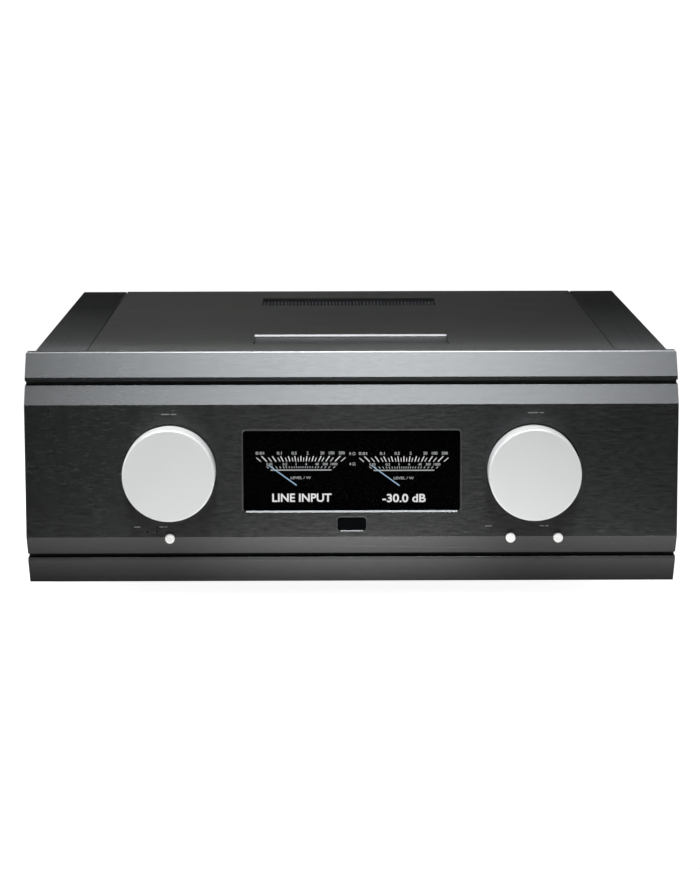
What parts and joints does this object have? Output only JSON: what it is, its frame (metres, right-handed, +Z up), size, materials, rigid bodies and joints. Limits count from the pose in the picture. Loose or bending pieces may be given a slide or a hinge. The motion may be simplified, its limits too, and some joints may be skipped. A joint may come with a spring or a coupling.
{
  "type": "integrated amplifier",
  "caption": "Full-width integrated amplifier with angled bevelled front bars, display window, rotary knobs, push buttons, side heatsinks, top vent and rear sockets.",
  "frame": {"origin": "centre of the footprint on the plane the feet stand on", "axes": "+X to the right seen from the front, the front faces -Y, +Z up"},
  "size_m": [0.483, 0.51, 0.187],
  "materials": {
    "fascia_metal": "dark grey anodised, fine horizontal brushing",
    "knob_metal": "light satin anodised, turned face",
    "button_metal": "light satin anodised",
    "cover_metal": "near-black satin anodised",
    "grille_metal": "near-black satin anodised",
    "sink_metal": "near-black anodised extrusion",
    "dark_sheet": "black fine-texture powder coat on steel",
    "display_glass": "smoked, polished",
    "screen_black": "black screen, unlit",
    "ir_plastic": "dark infra-red filter",
    "indicator_lens": "dark light pipe, unlit",
    "black_steel": "black oxide",
    "zinc_steel": "zinc plated",
    "encoder_case": "nickel plated case",
    "shaft_metal": "ground",
    "foot_metal": "black anodised, turned",
    "pad_rubber": "matte",
    "winding_tape": "black polyester tape over windings on a wound iron core",
    "board_green": "solder mask",
    "capacitor_sleeve": "shrink sleeve",
    "moulded_black": "fine texture moulded",
    "tube_metal": "drawn metal case",
    "ribbon_grey": "flat cable",
    "contact_gold": "gold plated",
    "socket_metal": "satin nickel plated",
    "cap_red": "moulded",
    "cap_black": "moulded"
  },
  "bodies": {
    "chassis": {"amp_board_left": "board_green", "amp_board_right": "board_green", "board_screws": "zinc_steel", "bottom_plate": "dark_sheet", "bridge_rectifiers": "moulded_black", "case_screws": "black_steel", "display_glass": "display_glass", "display_module": "screen_black", "encoder_nuts": "zinc_steel", "fascia_bottom_rail": "fascia_metal", "fascia_main": "fascia_metal", "fascia_screws": "zinc_steel", "fascia_top_rail": "fascia_metal", "feet": "foot_metal", "foot_pads": "pad_rubber", "foot_screws": "zinc_steel", "front_control_board": "board_green", "front_ribbon_cable": "ribbon_grey", "front_subpanel": "dark_sheet", "heatsink_left": "sink_metal", "heatsink_right": "sink_metal", "indicator_leds": "indicator_lens", "ir_window": "ir_plastic", "mains_inlet": "moulded_black", "output_transistors": "moulded_black", "power_supply_board": "board_green", "preamp_board": "board_green", "preamp_tubes": "tube_metal", "rca_sockets": "contact_gold", "rear_panel": "dark_sheet", "reservoir_capacitors": "capacitor_sleeve", "source_encoder": "encoder_case", "speaker_post_bases": "moulded_black", "speaker_post_studs": "contact_gold", "top_cover": "cover_metal", "transformer_bolts": "zinc_steel", "transformer_clamps": "zinc_steel", "transformer_left": "winding_tape", "transformer_right": "winding_tape", "trigger_jacks": "moulded_black", "vent_grille": "grille_metal", "volume_encoder": "encoder_case", "xlr_sockets": "socket_metal"},
    "source_knob": {"source_knob": "knob_metal", "source_knob_screw": "black_steel", "source_encoder_shaft": "shaft_metal"},
    "volume_knob": {"volume_knob": "knob_metal", "volume_knob_screw": "black_steel", "volume_encoder_shaft": "shaft_metal"},
    "standby_button": {"standby_button": "button_metal"},
    "lighting_button": {"lighting_button": "button_metal"},
    "display_button": {"display_button": "button_metal"},
    "power_rocker": {"power_rocker": "moulded_black"},
    "fuse_drawer": {"fuse_drawer": "moulded_black"},
    "xlr_latch_left": {"xlr_latch_left": "moulded_black"},
    "xlr_latch_right": {"xlr_latch_right": "moulded_black"},
    "speaker_cap_left_red": {"speaker_cap_left_red": "cap_red"},
    "speaker_cap_left_black": {"speaker_cap_left_black": "cap_black"},
    "speaker_cap_right_red": {"speaker_cap_right_red": "cap_red"},
    "speaker_cap_right_black": {"speaker_cap_right_black": "cap_black"}
  },
  "joints": [
    {"name": "source_knob_turn", "type": "hinge", "parent": "chassis", "child": "source_knob", "pos_m": [-0.1345, -0.244, 0.1003], "axis": [0, 1, 0], "continuous": true},
    {"name": "volume_knob_turn", "type": "hinge", "parent": "chassis", "child": "volume_knob", "pos_m": [0.1345, -0.244, 0.1003], "axis": [0, 1, 0], "continuous": true},
    {"name": "standby_button_press", "type": "slide", "parent": "chassis", "child": "standby_button", "axis": [0, 1, 0], "range_m": [0, 0.001], "stiffness_N_per_m": 150},
    {"name": "lighting_button_press", "type": "slide", "parent": "chassis", "child": "lighting_button", "axis": [0, 1, 0], "range_m": [0, 0.001], "stiffness_N_per_m": 150},
    {"name": "display_button_press", "type": "slide", "parent": "chassis", "child": "display_button", "axis": [0, 1, 0], "range_m": [0, 0.001], "stiffness_N_per_m": 150},
    {"name": "power_rocker_tip", "type": "hinge", "parent": "chassis", "child": "power_rocker", "pos_m": [0, 0.2365, 0.078], "axis": [0, 0, 1], "range_deg": [0, 18]},
    {"name": "fuse_drawer_slide", "type": "slide", "parent": "chassis", "child": "fuse_drawer", "axis": [0, 1, 0], "range_m": [0, 0.018]},
    {"name": "xlr_latch_left_press", "type": "slide", "parent": "chassis", "child": "xlr_latch_left", "axis": [0, -1, 0], "range_m": [0, 0.0018], "stiffness_N_per_m": 150},
    {"name": "xlr_latch_right_press", "type": "slide", "parent": "chassis", "child": "xlr_latch_right", "axis": [0, -1, 0], "range_m": [0, 0.0018], "stiffness_N_per_m": 150},
    {"name": "speaker_cap_left_red_turn", "type": "hinge", "parent": "chassis", "child": "speaker_cap_left_red", "pos_m": [-0.168, 0.2475, 0.092], "axis": [0, 1, 0], "range_deg": [0, 1080]},
    {"name": "speaker_cap_left_black_turn", "type": "hinge", "parent": "chassis", "child": "speaker_cap_left_black", "pos_m": [-0.168, 0.2475, 0.058], "axis": [0, 1, 0], "range_deg": [0, 1080]},
    {"name": "speaker_cap_right_red_turn", "type": "hinge", "parent": "chassis", "child": "speaker_cap_right_red", "pos_m": [0.168, 0.2475, 0.092], "axis": [0, 1, 0], "range_deg": [0, 1080]},
    {"name": "speaker_cap_right_black_turn", "type": "hinge", "parent": "chassis", "child": "speaker_cap_right_black", "pos_m": [0.168, 0.2475, 0.058], "axis": [0, 1, 0], "range_deg": [0, 1080]}
  ]
}
